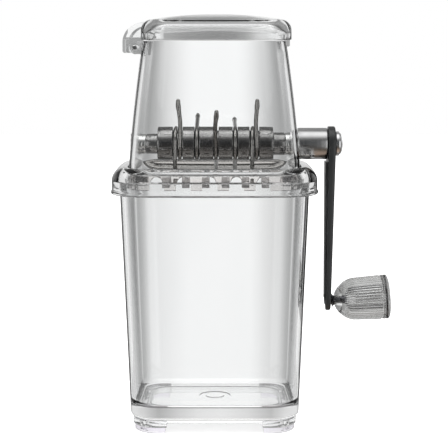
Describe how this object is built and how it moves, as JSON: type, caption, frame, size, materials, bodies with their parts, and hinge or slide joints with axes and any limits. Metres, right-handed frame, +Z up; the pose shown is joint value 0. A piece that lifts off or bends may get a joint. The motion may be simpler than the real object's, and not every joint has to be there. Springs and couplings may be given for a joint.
{
  "type": "hand-crank ice crusher",
  "caption": "Clear hand-crank ice crusher with a hinged lid, a steel shaft with wire claws, a black crank arm and a ribbed knob.",
  "frame": {"origin": "middle of the bounding box on the surface that the feet stand on", "axes": "+Z up through the lid, +X towards the crank's knob, -Y towards the viewer"},
  "size_m": [0.1716, 0.0964, 0.253],
  "materials": {
    "clear_plastic": "clear, polished",
    "knob_plastic": "clear with long ribs",
    "soft_pad": "clear, soft",
    "polished_steel": "turned and polished",
    "brushed_steel": "finely brushed round the axis",
    "dark_steel": "blackened",
    "chrome_nut": "polished",
    "black_coating": "satin black"
  },
  "bodies": {
    "container": {"container_cup": "clear_plastic", "foot_pad_front_left": "soft_pad", "foot_pad_front_right": "soft_pad", "foot_pad_rear_left": "soft_pad", "foot_pad_rear_right": "soft_pad"},
    "hopper": {"collar_ring": "clear_plastic", "hopper_shell": "clear_plastic", "hinge_pin": "brushed_steel", "breaker_comb": "clear_plastic", "comb_screw_left": "dark_steel", "comb_nut_left": "dark_steel", "comb_screw_right": "dark_steel", "comb_nut_right": "dark_steel", "bearing_bush_left": "polished_steel", "bearing_bush_right": "polished_steel"},
    "lid": {"lid_shell": "clear_plastic"},
    "crank": {"drive_shaft": "polished_steel", "roller_sleeve": "polished_steel", "claw_1": "polished_steel", "claw_2": "polished_steel", "claw_3": "polished_steel", "claw_4": "polished_steel", "claw_5": "polished_steel", "crank_hub": "brushed_steel", "crank_arm": "black_coating", "cap_nut": "chrome_nut", "knob_spindle": "brushed_steel"},
    "knob": {"knob_grip": "knob_plastic", "knob_end_cap": "knob_plastic"}
  },
  "joints": [
    {"name": "hopper_lift", "type": "slide", "parent": "container", "child": "hopper", "axis": [0, 0, 1], "range_m": [0, 0.06]},
    {"name": "lid_hinge", "type": "hinge", "parent": "hopper", "child": "lid", "pos_m": [-0.07221, 0, 0.2328], "axis": [0, -1, 0], "range_deg": [0, 95]},
    {"name": "crank_spin", "type": "hinge", "parent": "hopper", "child": "crank", "pos_m": [0.03599, 0, 0.174], "axis": [1, 0, 0], "continuous": true},
    {"name": "knob_spin", "type": "hinge", "parent": "crank", "child": "knob", "pos_m": [0.04839, 0, 0.0758], "axis": [0.9976, 0, 0.0698], "continuous": true}
  ]
}
